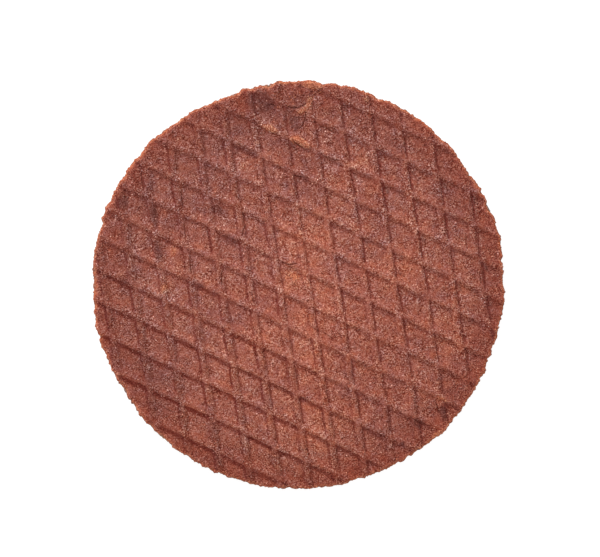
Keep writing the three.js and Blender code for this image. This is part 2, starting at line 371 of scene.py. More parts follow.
class Shop:
    """A node tree to build in. put() adds a node, sets its plain properties and its inputs, which
    are values or other nodes' outputs, and returns the node. The rest return a node's output."""

    def __init__(self, tree):
        self.tree = tree

    def put(self, kind, inputs=(), **properties):
        node = self.tree.nodes.new(kind)
        for name, value in properties.items():
            setattr(node, name, value)
        for name, value in dict(inputs).items():
            socket = node.inputs[name]
            if isinstance(value, bpy.types.NodeSocket):
                self.tree.links.new(value, socket)
            else:
                socket.default_value = value
        return node

    def math(self, operation, *values, clamp=False):
        inputs = dict(enumerate(values))
        return self.put("ShaderNodeMath", inputs, operation=operation, use_clamp=clamp).outputs[0]

    def chain(self, operation, first, *others):
        for other in others:
            first = self.math(operation, first, other)
        return first

    def total(self, *values):
        return self.chain("ADD", *values)

    def product(self, *values):
        return self.chain("MULTIPLY", *values)

    def largest(self, *values):
        return self.chain("MAXIMUM", *values)

    def mix(self, factor, first, second, blend="MIX"):
        """The first colour, with the second over it by the factor."""
        inputs = {0: factor, 6: first, 7: second}
        return self.put("ShaderNodeMix", inputs, data_type="RGBA", blend_type=blend).outputs[2]

    def dim(self, colour, red, green, blue):
        """A colour with each of its channels multiplied by a number."""
        shares = self.put("ShaderNodeCombineColor", {0: red, 1: green, 2: blue}).outputs[0]
        return self.mix(1.0, colour, shares, "MULTIPLY")

    def spread(self, value, low, high, to_low=0.0, to_high=1.0):
        """to_low below low, to_high above high, and a smooth step between them."""
        inputs = {"Value": value, "From Min": low, "From Max": high, "To Min": to_low, "To Max": to_high}
        return self.put("ShaderNodeMapRange", inputs, interpolation_type="SMOOTHSTEP").outputs[0]

    def fall(self, value, low, high):
        """1 below low, 0 above high, and a smooth step between them."""
        return self.spread(value, low, high, 1.0, 0.0)

    def noise(self, place, size, detail=2.0, rough=0.5, twist=0.0):
        """Noise about one half, with lumps of that size."""
        inputs = {"Vector": place, "Scale": 1 / size, "Detail": detail, "Roughness": rough}
        return self.put("ShaderNodeTexNoise", {**inputs, "Distortion": twist}).outputs[0]

    def centred(self, noise, strength):
        """Noise about one half made to swing about nothing, and stronger."""
        return self.math("MULTIPLY_ADD", noise, strength, -0.5 * strength)

    def read(self, attribute):
        return self.put("ShaderNodeAttribute", attribute_name=attribute).outputs["Fac"]

    def finish(self, inputs, height, strength, deep):
        """The shader with those inputs and a bump of that height, and the material's output."""
        bump = self.put("ShaderNodeBump", {"Strength": strength, "Distance": deep, "Height": height})
        skin = self.put("ShaderNodeBsdfPrincipled", {**inputs, "Normal": bump.outputs[0]})
        self.put("ShaderNodeOutputMaterial", {"Surface": skin.outputs[0]})


def new_material(name):
    """An empty material, the shop that builds in it, and the place on the piece."""
    material = bpy.data.materials.new(name)
    material.use_nodes = True
    material.node_tree.nodes.clear()
    shop = Shop(material.node_tree)
    return material, shop, shop.put("ShaderNodeTexCoord").outputs["Object"]


def node_group(name, inputs, outputs):
    """An empty node group with those inputs, as name and socket type, and number outputs. Returns
    the group, the shop that builds in it, and the outputs of the node that hands in its inputs."""
    group = bpy.data.node_groups.new(name, "ShaderNodeTree")
    for socket, kind in inputs.items():
        group.interface.new_socket(socket, in_out="INPUT", socket_type=kind)
    for socket in outputs:
        group.interface.new_socket(socket, in_out="OUTPUT", socket_type="NodeSocketFloat")
    shop = Shop(group)
    return group, shop, shop.put("NodeGroupInput").outputs


# The dough's grain: the size and strength of its coarse part, drawn out a little the way the batter
# ran in the iron, and of its fine part, which is stronger in some patches than in others. The
# flecks of a third noise are pores where it is low and pale grains where it is high; the pale
# grains are also painted glints of sugar.
grain_turn = np.radians(38)
grain_stretch = (1.6, 0.8, 1)
coarse_wide, coarse_strength = 0.65 * mm, 0.8
fine_wide, fine_strength = 0.28 * mm, 2.9
patch_wide, patch_strength = 2.6 * mm, (0.68, 1.45)
fleck_wide = 0.42 * mm
pale_glint_spacing = 0.75 * mm


def baked_grain():
    """Grain of baked dough as a node group. Out come slow toasting, a mottle of a few millimetres,
    the grain itself, its hue and a slow tinge, all about one half, then masks of pores, of the
    larger holes in open crumb, and of pale grains, which are flecks and some of the cells' dots and
    also stand for painted glints."""
    group, shop, given = node_group(
        "baked_grain", {"Place": "NodeSocketVector"},
        ("Toast", "Mottle", "Grain", "Hue", "Tinge", "Pores", "Holes", "Pale And Glint"),
    )
    place = given["Place"]
    inputs = {"Vector": place, "Rotation": (0, 0, grain_turn), "Scale": grain_stretch}
    drawn = shop.put("ShaderNodeMapping", inputs, vector_type="TEXTURE").outputs[0]
    coarse = shop.centred(shop.noise(drawn, coarse_wide, 1.0, 0.6, 0.4), coarse_strength)
    fine = shop.centred(shop.noise(place, fine_wide, 1.0, 0.7), fine_strength)
    patch = shop.spread(shop.noise(place, patch_wide, 2.0, 0.6), 0.35, 0.65, *patch_strength)
    grain = shop.product(shop.total(coarse, fine), patch)
    grain = shop.math("SMOOTH_MIN", grain, 0.6, 0.4)
    flecks = shop.noise(place, fleck_wide, 2.0, 0.7, 0.4)
    cells = shop.put("ShaderNodeTexVoronoi", {"Vector": place, "Scale": 1 / pale_glint_spacing}).outputs
    chosen = shop.put("ShaderNodeSeparateColor", {0: cells["Color"]}).outputs[1]
    dots = shop.product(shop.fall(cells["Distance"], 0.12, 0.24), shop.spread(chosen, 0.7, 0.8))
    shop.put("NodeGroupOutput", {
        "Toast": shop.noise(place, 11 * mm, 3.0, 0.55),
        "Mottle": shop.noise(place, 2.2 * mm, 3.0, 0.6, 0.5),
        "Grain": shop.total(grain, 0.5),
        "Hue": shop.noise(place, 1.6 * mm, 3.0, 0.65),
        "Tinge": shop.noise(place, 7 * mm, 4.0, 0.65),
        "Pores": shop.fall(flecks, 0.325, 0.415),
        "Holes": shop.fall(shop.noise(place, 0.6 * mm, 3.0, 0.6), 0.36, 0.46),
        "Pale And Glint": shop.largest(dots, shop.spread(flecks, 0.645, 0.735)),
    })
    return group


# The bands of the marks along a ridge, in pitches from its middle: where a mark starts, is full,
# starts to fade, and ends. Noise moves them a bit, and little is left of them at a crossing. The
# creases, foot, corner and back carry painted shade, the crest and lip a painted highlight.
right_band = (0.093, 0.127, 0.15, 0.225)
left_band = (-0.205, -0.17, -0.13, -0.085)
lip_highlight_band = (0.18, 0.21, 0.235, 0.3)
foot_shade_band = (-0.28, -0.165, -0.09, -0.06)
crest_highlight_band = (-0.02, 0.03, 0.05, 0.14)
back_shade_band = (-0.2, -0.1, 0.06, 0.12)
corner_steep_band = (0.14, 0.2, 0.27, 0.38)
corner_shallow_band = (-0.4, -0.3, -0.2, -0.14)
steep_ridge_band = (-0.24, -0.16, 0.12, 0.2)
shallow_ridge_band = (-0.24, -0.14, -0.1, -0.02)
steep_crossing_band = (-0.15, -0.03, 0.03, 0.15)
shallow_crossing_band = (-0.14, -0.03, 0.05, 0.2)
mark_waver = 0.07
crossing_loss = 0.8


def ridge_marks():
    """Marks along the iron's grid as a node group, each a bump across a ridge of one family that
    stops where the other family crosses: the creases right and left of the steep ridges, which
    carry painted shade, the painted shade on the foot of the shallow ones, the painted highlight
    on their crests and on the lip beyond a right crease, the shade in the corner between both, the
    painted shade over the backs of the steep ridges, and where there is a ridge at all."""
    group, shop, given = node_group(
        "ridge_marks",
        {"Place": "NodeSocketVector", "Steep": "NodeSocketFloat", "Shallow": "NodeSocketFloat"},
        ("Right Crease", "Left Crease", "Foot Shade", "Crest Highlight", "Ridge", "Corner", "Back Shade"),
    )
    wobble = shop.centred(shop.noise(given["Place"], 1.8 * mm, 1.0), mark_waver)
    steep, shallow = (
        shop.math("WRAP", shop.total(given[family], wobble), 0.5, -0.5)
        for family in ("Steep", "Shallow")
    )

    def band(across, ends):
        start, full, fade, end = ends
        return shop.product(shop.spread(across, start, full), shop.fall(across, fade, end))

    off_steep, off_shallow = (
        shop.math("MULTIPLY_ADD", band(across, ends), -crossing_loss, 1.0)
        for across, ends in ((steep, steep_crossing_band), (shallow, shallow_crossing_band))
    )
    crest_highlight = shop.product(band(shallow, crest_highlight_band), off_steep)
    lip = shop.product(band(steep, lip_highlight_band), off_shallow)
    shallow_ridge = shop.product(band(shallow, shallow_ridge_band), 0.7)
    shop.put("NodeGroupOutput", {
        "Right Crease": shop.product(band(steep, right_band), off_shallow),
        "Left Crease": shop.product(band(steep, left_band), off_shallow),
        "Foot Shade": shop.product(band(shallow, foot_shade_band), off_steep),
        "Crest Highlight": shop.largest(crest_highlight, lip),
        "Corner": shop.product(band(steep, corner_steep_band), band(shallow, corner_shallow_band)),
        "Back Shade": shop.product(band(steep, back_shade_band), off_shallow),
        "Ridge": shop.largest(band(steep, steep_ridge_band), shallow_ridge),
    })
    return group


grain_group = baked_grain()
marks_group = ridge_marks()

# Tones of the crust, from the duskiest over its ordinary brown to the most toasted, then the
# creases, painted shade over darker dough, the dusky places and shaded corners, painted shade in
# part, the foot with its painted shade and the crest with its painted highlight, the darker ring
# along the cut, its worn rim, the crumb that the cut lays open, and the pores and the cracks' gaps,
# painted shade there, the flakes and the pale grains, which are partly painted glints.
crust_tones = [(0.2, 0.0525, 0.0415, 1), (0.345, 0.1015, 0.07, 1), (0.502, 0.157, 0.0925, 1)]
crease_scorch_and_shade_tone = (0.175, 0.021, 0.014, 1)
dusky_and_shade_tone = (0.12, 0.034, 0.027, 1)
foot_shade_tone = (0.178, 0.015, 0.0065, 1)
crest_highlight_tone = (0.42, 0.150, 0.115, 1)
ring_tone = (0.335, 0.075, 0.0455, 1)
rim_tone = (0.52, 0.145, 0.058, 1)
crumb_tones = [(0.27, 0.078, 0.04, 1), (0.40, 0.137, 0.074, 1)]
pore_and_crack_shade_tone = (0.14, 0.021, 0.011, 1)
flake_tone = (0.53, 0.162, 0.088, 1)
pale_and_glint_tone = (0.76, 0.295, 0.215, 1)

# The shares of the mottle, the slow toasting and the scars in how far a place is baked, then how far
# the grain, its hue, the slow tinge and the blush swing red, green and blue, as powers of e.
mottle_share, toast_share, scar_share = 0.62, 0.8, 0.6
channel_swings = [(0.94, 0.0, 0.3, 0.0), (1.86, -0.42, -0.04, -0.08), (2.18, -1.1, -0.42, -0.14)]


def crust_material(name):
    """Baked crust, in layers from its baked tone up to the pale grains, which are partly painted
    glints. Each channel is then multiplied by e to the grain and the blush, green and blue more than
    red, because the dark grains are the redder ones."""
    material, shop, place = new_material(name)
    toast, mottle, grain, hue, tinge, pores, holes, pale = shop.put(
        "ShaderNodeGroup", {"Place": place}, node_tree=grain_group
    ).outputs
    phases = {"Steep": shop.read("steep"), "Shallow": shop.read("shallow")}
    right, left, foot, crest_highlight, ridge, corner, back_shade = shop.put(
        "ShaderNodeGroup", {"Place": place, **phases}, node_tree=marks_group
    ).outputs
    warmth, inward, side = shop.read("warmth"), shop.read("inward"), shop.read("side")
    cut = shop.spread(side, 0.95, 1.25)
    side = shop.math("MINIMUM", side, 1.0)
    on_face = shop.math("SUBTRACT", 1.0, side)

    # how far it is baked, from the duskiest tone over the plain one to the most toasted
    bake = shop.total(
        shop.centred(mottle, mottle_share), shop.centred(toast, toast_share),
        shop.product(warmth, scar_share), shop.read("pocket"),
    )
    bake = shop.math("ADD", bake, 0.5, clamp=True)
    dusky, plain, toasted = crust_tones
    colour = shop.mix(shop.math("MULTIPLY", bake, 2.0, clamp=True), dusky, plain)
    colour = shop.mix(shop.math("MULTIPLY_ADD", bake, 2.0, -1.0, clamp=True), colour, toasted)

    # scars, with ragged borders where noise takes their toasting past a limit, the dusky ones partly
    # painted shade, and open cracks, whose gaps are painted dark as shade
    ragged = shop.total(warmth, shop.centred(shop.noise(place, 1.1 * mm, 4.0, 0.75), 1.6))
    flaked = shop.product(shop.spread(ragged, 0.5, 0.62), shop.spread(warmth, 0.25, 0.45))
    dusky_and_shaded = shop.product(shop.fall(ragged, -0.8, -0.35), shop.fall(warmth, -0.45, -0.25))
    split = shop.fall(shop.math("ABSOLUTE", shop.read("across")), 0.03, 0.2)
    split = shop.product(split, shop.read("crack"))

    # marks of the grid, each as deep as its attributes say: painted shade in the creases, on the feet,
    # in the corners and over the backs
    foot = shop.product(foot, on_face, shop.spread(shop.read("foot"), 0.0, 2.5, 0.28, 0.88))
    right_depth = shop.spread(shop.read("right"), 0.0, 1.0, 0.28, 0.66)
    right = shop.product(right, on_face, shop.read("fade"), right_depth)
    crease = shop.largest(right, shop.product(left, on_face, shop.read("left")))
    corner = shop.product(corner, shop.read("corner"))
    shade = shop.largest(corner, shop.product(back_shade, shop.read("back_shade")))

    holes = shop.product(holes, cut)
    dark = shop.largest(shop.product(pores, 0.85), shop.product(holes, 0.6))
    # Layers of tone over the baked brown. The creases, feet, corners and backs are painted shade, the
    # crest a painted highlight, the cracks' gaps painted shade, the dusky places partly painted shade and
    # the pale grains partly painted glints.
    layers = [
        (shop.spread(inward, 0.8, 8.0, 0.8, 0.0), ring_tone),
        (shop.product(dusky_and_shaded, shop.spread(warmth, -1.2, -0.5, 0.58, 0.42)), dusky_and_shade_tone),
        (shop.product(crest_highlight, on_face, 0.3), crest_highlight_tone),
        (foot, foot_shade_tone),
        (shop.product(shade, on_face), dusky_and_shade_tone),
        (crease, crease_scorch_and_shade_tone),
        (flaked, flake_tone),
        (split, pore_and_crack_shade_tone),
        (shop.product(side, 0.85), rim_tone),
        (cut, shop.mix(shop.spread(mottle, 0.35, 0.65), *crumb_tones)),
        (dark, pore_and_crack_shade_tone),
        (shop.product(pale, 0.86), pale_and_glint_tone),
    ]
    for mask, tone in layers:
        colour = shop.mix(mask, colour, tone)

    # the grain, quieter in the marks and towards the middle, and stronger on the ridges
    smooth = shop.largest(crease, foot, split, dusky_and_shaded, shop.product(side, 1.8))
    grainy = shop.product(
        shop.math("SUBTRACT", 1.0, shop.product(smooth, 0.2)),
        shop.spread(inward, 8.0, 44.0, 1.05, 0.92),
        shop.spread(ridge, 0.0, 1.0, 0.95, 1.06),
    )
    channels = []
    for grain_swing, hue_swing, tinge_swing, blush_swing in channel_swings:
        power = shop.total(shop.centred(grain, grain_swing), shop.centred(hue, hue_swing))
        power = shop.total(shop.product(power, grainy), shop.centred(tinge, tinge_swing))
        power = shop.math("MULTIPLY_ADD", shop.read("blush"), blush_swing, power)
        channels.append(shop.math("EXPONENT", power))
    colour = shop.dim(colour, *channels)

    # from the pale last millimetre over a darker band along the cut to the paler middle
    depth = shop.product(
        shop.spread(inward, 0.1, 1.1, 1.3, 1.0),
        shop.spread(inward, 0.0, 14.0, 0.83, 1.0),
        shop.spread(inward, 20.0, 44.0, 1.0, 1.1),
    )
    colour = shop.dim(colour, depth, depth, depth)

    height = shop.total(grain, shop.centred(mottle, 0.8))
    height = shop.math("SUBTRACT", height, shop.product(pores, 0.4))
    height = shop.math("SUBTRACT", shop.product(height, grainy), crease)
    height = shop.math("SUBTRACT", height, shop.product(shop.total(split, holes), 1.5))
    height = shop.total(height, shop.math("SUBTRACT", flaked, dusky_and_shaded))
    roughness = shop.spread(grain, 0.2, 0.8, 0.9, 0.6)
    inputs = {"Base Color": colour, "Roughness": roughness, "Specular IOR Level": 0.25}
    shop.finish(inputs, height, strength=0.8, deep=0.16 * mm)
    return material


def loose_crumbs(name, x, y, z, sizes, tones, seed):
    """Crumbs that cling to the crust, as one mesh: each is a ball of 20 faces, its corners pulled
    in or out by up to a third, flattened, and turned at random. Tones go from 0, dark, to 1, pale."""
    form = bmesh.new()
    bmesh.ops.create_icosphere(form, subdivisions=1, radius=1)
    form.verts.index_update()
    corners = np.array([corner.co for corner in form.verts])
    faces = np.array([[corner.index for corner in face.verts] for face in form.faces])
    form.free()
    draw = np.random.default_rng(seed)
    count = len(x)
    turns = np.linalg.qr(draw.normal(size=(count, 3, 3)))[0]
    turns = turns * np.sign(np.linalg.det(turns))[:, None, None]
    flat = np.stack([np.ones(count), draw.uniform(0.6, 1, count), draw.uniform(0.4, 0.8, count)], 1)
    ball = corners * (1 + draw.uniform(-0.33, 0.33, (count, len(corners), 1)))
    crumbs = np.einsum("nij,nkj->nki", turns, ball * flat[:, None]) * sizes[:, None, None]
    points = (crumbs + np.stack([x, y, z], 1)[:, None]).reshape(-1, 3)
    numbers = (np.arange(count) * len(corners))[:, None, None] + faces
    no_quads = np.empty((0, 4), int)
    tone = np.repeat(tones, len(corners))
    return surface(name, points, no_quads, numbers.reshape(-1, 3), smooth=False, tone=tone)


tan_tone = (0.47, 0.15, 0.072, 1)


def crumb_material(name):
    """Broken crumb, each piece with a tone of its own from the crust's red-brown over tan to pale."""
    material, shop, place = new_material(name)
    grain = shop.put("ShaderNodeGroup", {"Place": place}, node_tree=grain_group).outputs["Grain"]
    tone = shop.read("tone")
    colour = shop.mix(shop.spread(tone, 0.0, 0.6), ring_tone, tan_tone)
    colour = shop.mix(shop.spread(tone, 0.6, 1.0), colour, pale_and_glint_tone)
    shade = shop.math("EXPONENT", shop.centred(grain, 0.9))
    colour = shop.dim(colour, shade, shade, shade)
    inputs = {"Base Color": colour, "Roughness": 0.8, "Specular IOR Level": 0.35}
    shop.finish(inputs, grain, strength=0.6, deep=0.1 * mm)
    return material


lower_low, lower_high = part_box("bottom_wafer")
lower_seed = 211
lower_crumb_count = 700


def lower_relief(x, y):
    """The lower face's grid. Its ridge tops are level, because the biscuit lies on them."""
    height = grid_relief(*ridge_phases(x, y, lower_grid, lower_seed), x, y, lower_seed)
    return np.minimum(height - ridge_high, 0)


points, quads, fans, marks = wafer_half(
    lower_edge_places, lower_shift, lower_high.z, lower_low.z, lower_grid, lower_relief, lower_seed
)
# The underside's creases and feet carry the same painted shade as the upper face's, its left creases at a
# share of it; it has no painted corners or backs, no scars and no cracks.
left_share = 0.6
marks["left"] = left_share * marks["left"]
marks["fade"] = np.ones(len(points))
for name in ("warmth", "blush", "corner", "back_shade", "across", "crack"):
    marks[name] = np.zeros(len(points))
lower_wafer = surface("lower_wafer", points, quads, fans, **marks)
lower_wafer.data.materials.append(crust_material("lower_crust"))
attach(lower_wafer, "root")
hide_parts("bottom_wafer")

# Crumbs cling to its cut. They are placed a little in or out of it and in its upper part.
lower_crumb_reach = (lower_high.z - lower_low.z) - 0.2 * mm
draw = np.random.default_rng(lower_seed + 5)
angle = draw.uniform(-np.pi, np.pi, lower_crumb_count)
radius = edge_radius(angle, lower_edge_places, lower_seed)
x, y = round_point(radius + draw.uniform(-0.1, 0.15, lower_crumb_count) * mm, angle)
z = lower_low.z + draw.uniform(0.4, 1, lower_crumb_count) * lower_crumb_reach
sizes = draw.uniform(0.1, 0.28, lower_crumb_count) * mm
tones = draw.uniform(0, 0.8, lower_crumb_count)
lower_crumbs = loose_crumbs("lower_crumbs", x + lower_shift, y, z, sizes, tones, lower_seed + 6)
lower_crumbs.data.materials.append(crumb_material("lower_crumb_inside"))
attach(lower_crumbs, "root")

# ======================================================================
# Syrup. Caramel of sugar syrup, butter and cinnamon, spread warm on the lower half. Pressing the
# upper half on drives it out to the edge, where it sets with a soft gloss, proud in some places
# and drawn in behind the wafers in others.

syrup_low, syrup_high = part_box("syrup")
syrup_rows = 22
syrup_round = 1400

# How far the syrup stays behind the cut, and how far its belly comes out again: a part that is the
# same all round, and parts that change over a long and a short way. Tilt moves it up or down.
syrup_back = 0.65 * mm
belly_out = 0.5 * mm
pressed_out, pressed_long = 0.28 * mm, 5 * mm
welled_out, welled_long = 0.1 * mm, 1.3 * mm
belly_tilt, tilt_long = 0.12, 3.5 * mm
string_high, string_wide = 0.03 * mm, 0.5 * mm

syrup_edge_places = [
    (25, 10, 0.35),
    (75, 12, -0.4),
    (112, 10, -0.5),
    (172, 9, 0.5),
    (232, 14, 0.3),
    (300, 10, -0.35),
    (330, 8, 0.3),
]


def syrup_edge():
    """The syrup's side: a sine to the power of 0.6 between the wafers, its depth changing slowly
    round the edge by noise, with fine strings, closed by a fan above and below."""
    angle = np.linspace(0, 2 * np.pi, syrup_round, endpoint=False)
    rise = np.linspace(0, 1, syrup_rows)
    angle, rise = np.meshgrid(angle, rise)
    x, y = round_point(cut_radius, angle)
    radius = edge_radius(angle, syrup_edge_places, 77) - syrup_back
    pressed = pressed_out * crumble(x, y, pressed_long, 79)
    pressed = pressed + welled_out * net_noise(x, y, welled_long, 83)
    tilt = belly_tilt * net_noise(x, y, tilt_long, 89)
    belly = np.sin(np.pi * np.clip(rise + tilt * rise * (1 - rise) * 4, 0, 1)) ** 0.6
    strings = string_high * net_noise(cut_radius * angle, rise * 1.5 * mm, string_wide, 97)
    radius = radius + (belly_out + pressed) * belly + strings * belly
    z = syrup_low.z + (syrup_high.z - syrup_low.z) * rise
    ring = np.stack([*round_point(radius, angle), z], 2).reshape(-1, 3)
    points = np.concatenate([ring, [[0, 0, syrup_low.z], [0, 0, syrup_high.z]]])
    start = np.arange(syrup_round)
    after = np.roll(start, -1)
    rows = np.arange(syrup_rows - 1)[:, None] * syrup_round
    here, right = (rows + start).ravel(), (rows + after).ravel()
    quads = np.stack([here, right, right + syrup_round, here + syrup_round], 1)
    top = (syrup_rows - 1) * syrup_round
    below = np.stack([after, start, np.full(syrup_round, len(ring))], 1)
    above = np.stack([top + start, top + after, np.full(syrup_round, len(ring) + 1)], 1)
    return points, quads, np.concatenate([below, above])


thick_caramel = (0.17, 0.04, 0.009, 1)
thin_caramel = (0.38, 0.12, 0.022, 1)
crumb_in_caramel = (0.42, 0.16, 0.06, 1)


def syrup_material():
    """Set caramel: amber, darker where it is thick, with crumbs in it and a soft uneven gloss."""
    material, shop, place = new_material("syrup_caramel")
    slow = shop.noise(place, 4 * mm, 2.0)
    quick = shop.noise(place, 0.7 * mm, 2.0)
    colour = shop.mix(shop.spread(slow, 0.3, 0.7), thick_caramel, thin_caramel)
    crumbs = shop.spread(shop.noise(place, 0.45 * mm, 1.0), 0.62, 0.7)
    colour = shop.mix(crumbs, colour, crumb_in_caramel)
    height = shop.total(shop.product(quick, 0.6), crumbs)
    gloss = shop.spread(quick, 0.3, 0.7, 0.22, 0.45)
    inputs = {"Base Color": colour, "Roughness": gloss, "Coat Weight": 0.3}
    shop.finish(inputs, height, strength=0.5, deep=0.1 * mm)
    return material


syrup = surface("syrup_layer", *syrup_edge())
syrup.data.materials.append(syrup_material())
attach(syrup, "root")
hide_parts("syrup")

# ======================================================================
# Upper wafer. The other half, ridges up, pressed onto the syrup. Its crust is dry and grainy, paler
# and more toasted in the middle, worn along the cut, and torn open in a patch at the far edge.

upper_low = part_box("top_wafer")[0]
upper_thick = 2.3 * mm
upper_outer = upper_low.z + upper_thick
upper_grid = (steep_normal_deg, shallow_normal_deg, 1.9 * mm, 3.42 * mm)
upper_seed = 101

# The face swells slowly, is lower near the cut, and is a warmer brown along its blush.
swell_high = 0.1 * mm
swell_long = 17 * mm
low_near_cut = 0.3
low_from = 38 * mm
blush_turn = np.radians(-57)

# The torn patch: its middle, its half sizes, the flakes in it, with their height and how far the
# crust has sunk in mm, and how much of the grid is lost.
torn_x, torn_y = -2.2 * mm, 40 * mm
torn_long, torn_wide = 7.5 * mm, 5.5 * mm
torn_flake_wide = 2 * mm
torn_flake_high, torn_sink, torn_loss = 0.12, 0.1, 0.6

upper_edge_places = [
    (15, 9, 0.45),
    (35, 4, -0.2),
    (67, 4, -0.25),
    (83, 4, -0.3),
    (99, 4, -0.4),
    (111, 7, -0.65),
    (123, 7, -0.3),
    (138, 4, 0.3),
    (159, 20, 0.45),
    (193, 8, 0.45),
    (240, 9, 0.2),
    (288, 24, -0.2),
    (315, 4, 0.45),
    (339, 4, -0.2),
    (355, 6, 0.3),
    (0, 4, 0.12),
    (59, 5, -0.2),
    (76, 4, 0.12),
    (93, 6, -0.22),
    (121, 5, -0.15),
    (141, 5, -0.22),
    (268, 16, 0.1),
    (292, 6, 0.12),
    (329, 20, 0.22),
    # teeth and nicks, where whole crumbs stand out or are gone
    (2.2, 1, -0.24),
    (7.3, 1, -0.27),
    (22.5, 1, -0.3),
    (32.5, 1.2, -0.3),
    (46, 1, -0.27),
    (66.8, 1.2, -0.35),
    (69.8, 1, 0.25),
    (82.8, 1.2, -0.3),
    (86, 1.5, 0.3),
    (96, 1.2, 0.35),
    (98.6, 1.4, -0.4),
    (103.3, 1.2, -0.4),
    (106, 1, 0.4),
    (109.8, 1.4, -0.35),
    (137, 0.9, 0.4),
    (140.2, 1, -0.3),
    (163.5, 1.2, -0.3),
    (180.3, 1.6, -0.3),
    (211, 1.6, -0.35),
    (222.2, 1, 0.25),
    (240.5, 0.9, -0.26),
    (259.5, 0.8, 0.35),
    (283.8, 1, 0.3),
    (288.2, 1.2, -0.3),
    (335.5, 0.8, 0.35),
    (338.4, 1, -0.3),
]

# Scars of the crust. For each: place in mm, half length and half width in mm, turn of the length in
# degrees, how much it is toasted (dusky below 0), and how far it stands up, in mm.
scars = [
    # the torn patch: a hollow, sunk and with painted shade, the flake next to it, a curved streak of
    # crumb, a second hollow, sunk and with painted shade, the crumb laid open at the edge
    (-8, 39.4, 2.8, 2, -25, -1.3, -0.15),
    (-0.7, 40.3, 2.3, 1.6, 5, -0.45, 0.25),
    (2.4, 40.2, 1.3, 0.8, -20, 0.5, 0.15),
    (2.1, 38.8, 1.2, 0.8, 60, 0.85, 0.15),
    (0.4, 37.2, 1.6, 0.8, 20, 0.95, 0.15),
    (-0.6, 35.2, 2.6, 2, 100, -0.58, -0.3),
    (2.8, 42.9, 2.3, 0.9, -8, 1.3, 0.15),
    (-3.2, 43.6, 1.6, 0.5, 0, 0.9, 0.1),
    # streaks and flakes of crumb
    (-6.2, 33.7, 2.1, 0.75, -24, 1.5, 0.16),
    (-0.6, 31.2, 1.4, 0.9, -12, 1.5, 0.18),
    (1.2, 30.3, 1.6, 0.8, -28, 1.2, 0.12),
    (11.9, 25.5, 1.5, 0.7, -25, 0.5, 0),
    (14.6, 39.8, 1, 0.5, -30, 0.8, 0.05),
    (-1.6, 1.6, 2.8, 2.2, -40, 0.4, 0),
    (-29.1, -1, 1.4, 0.8, 60, 0.9, 0),
    (-26.9, 7.3, 1.5, 1, 75, 0.7, 0),
    (-11.5, 25.5, 1.8, 1.2, 0, 0.5, 0),
    (33, -29.6, 1.4, 0.5, 48, 0.9, 0.1),
    (29.8, -32.2, 1.6, 0.5, 40, 0.9, 0.1),
    (31, -24.8, 1.8, 1, -20, 0.6, 0),
    # dusky places, darker crust; the pit at 1, -24.8 and the sunk places by the near right rim are
    # painted shade as well
    (31.4, -27.8, 1.9, 1.2, 110, -1.1, -0.12),
    (26, -30.2, 1.8, 1.1, -35, -0.85, -0.12),
    (22.5, -34.6, 1, 0.6, -60, -0.8, -0.1),
    (15.4, -38.6, 1, 0.6, -60, -0.8, -0.1),
    (1, -24.8, 1, 0.5, -20, -0.9, -0.15),
    (-17.2, 16, 2.3, 1.2, -25, -0.6, 0),
    (-14.5, 9.3, 2.2, 1.1, -25, -0.6, 0),
    (-11.4, 29, 3.2, 0.9, -25, -0.55, 0),
    (-21.4, -0.4, 1.9, 1.1, -10, -0.6, 0),
    (-38, 17.5, 1.7, 1.3, 60, -0.65, -0.06),
    (-31, 15, 2.6, 0.9, 98, -0.55, 0),
    (-30.4, 7.5, 2.4, 0.8, 98, -0.55, 0),
    (-37.5, 0.8, 2.5, 1.6, 98, -0.4, 0),
    (-17.5, -38.3, 2.6, 0.8, -28, -0.6, -0.05),
    # slow toasting
    (-31, 18, 14, 14, 0, -0.26, 0),
    (-12, 34, 10, 8, 0, -0.36, 0),
    (17, 33, 7, 6, 0, -0.3, 0),
    (-32, -6, 8, 8, 0, -0.12, 0),
    (-3, 22, 5, 5, 0, -0.14, 0),
    (2, 0, 12, 12, 0, 0.24, 0),
    (-8, -18, 14, 9, 0, 0.3, 0),
    (-4, -33, 26, 8, 0, 0.13, 0),
    (19, 10, 8, 8, 0, 0.12, 0),
]

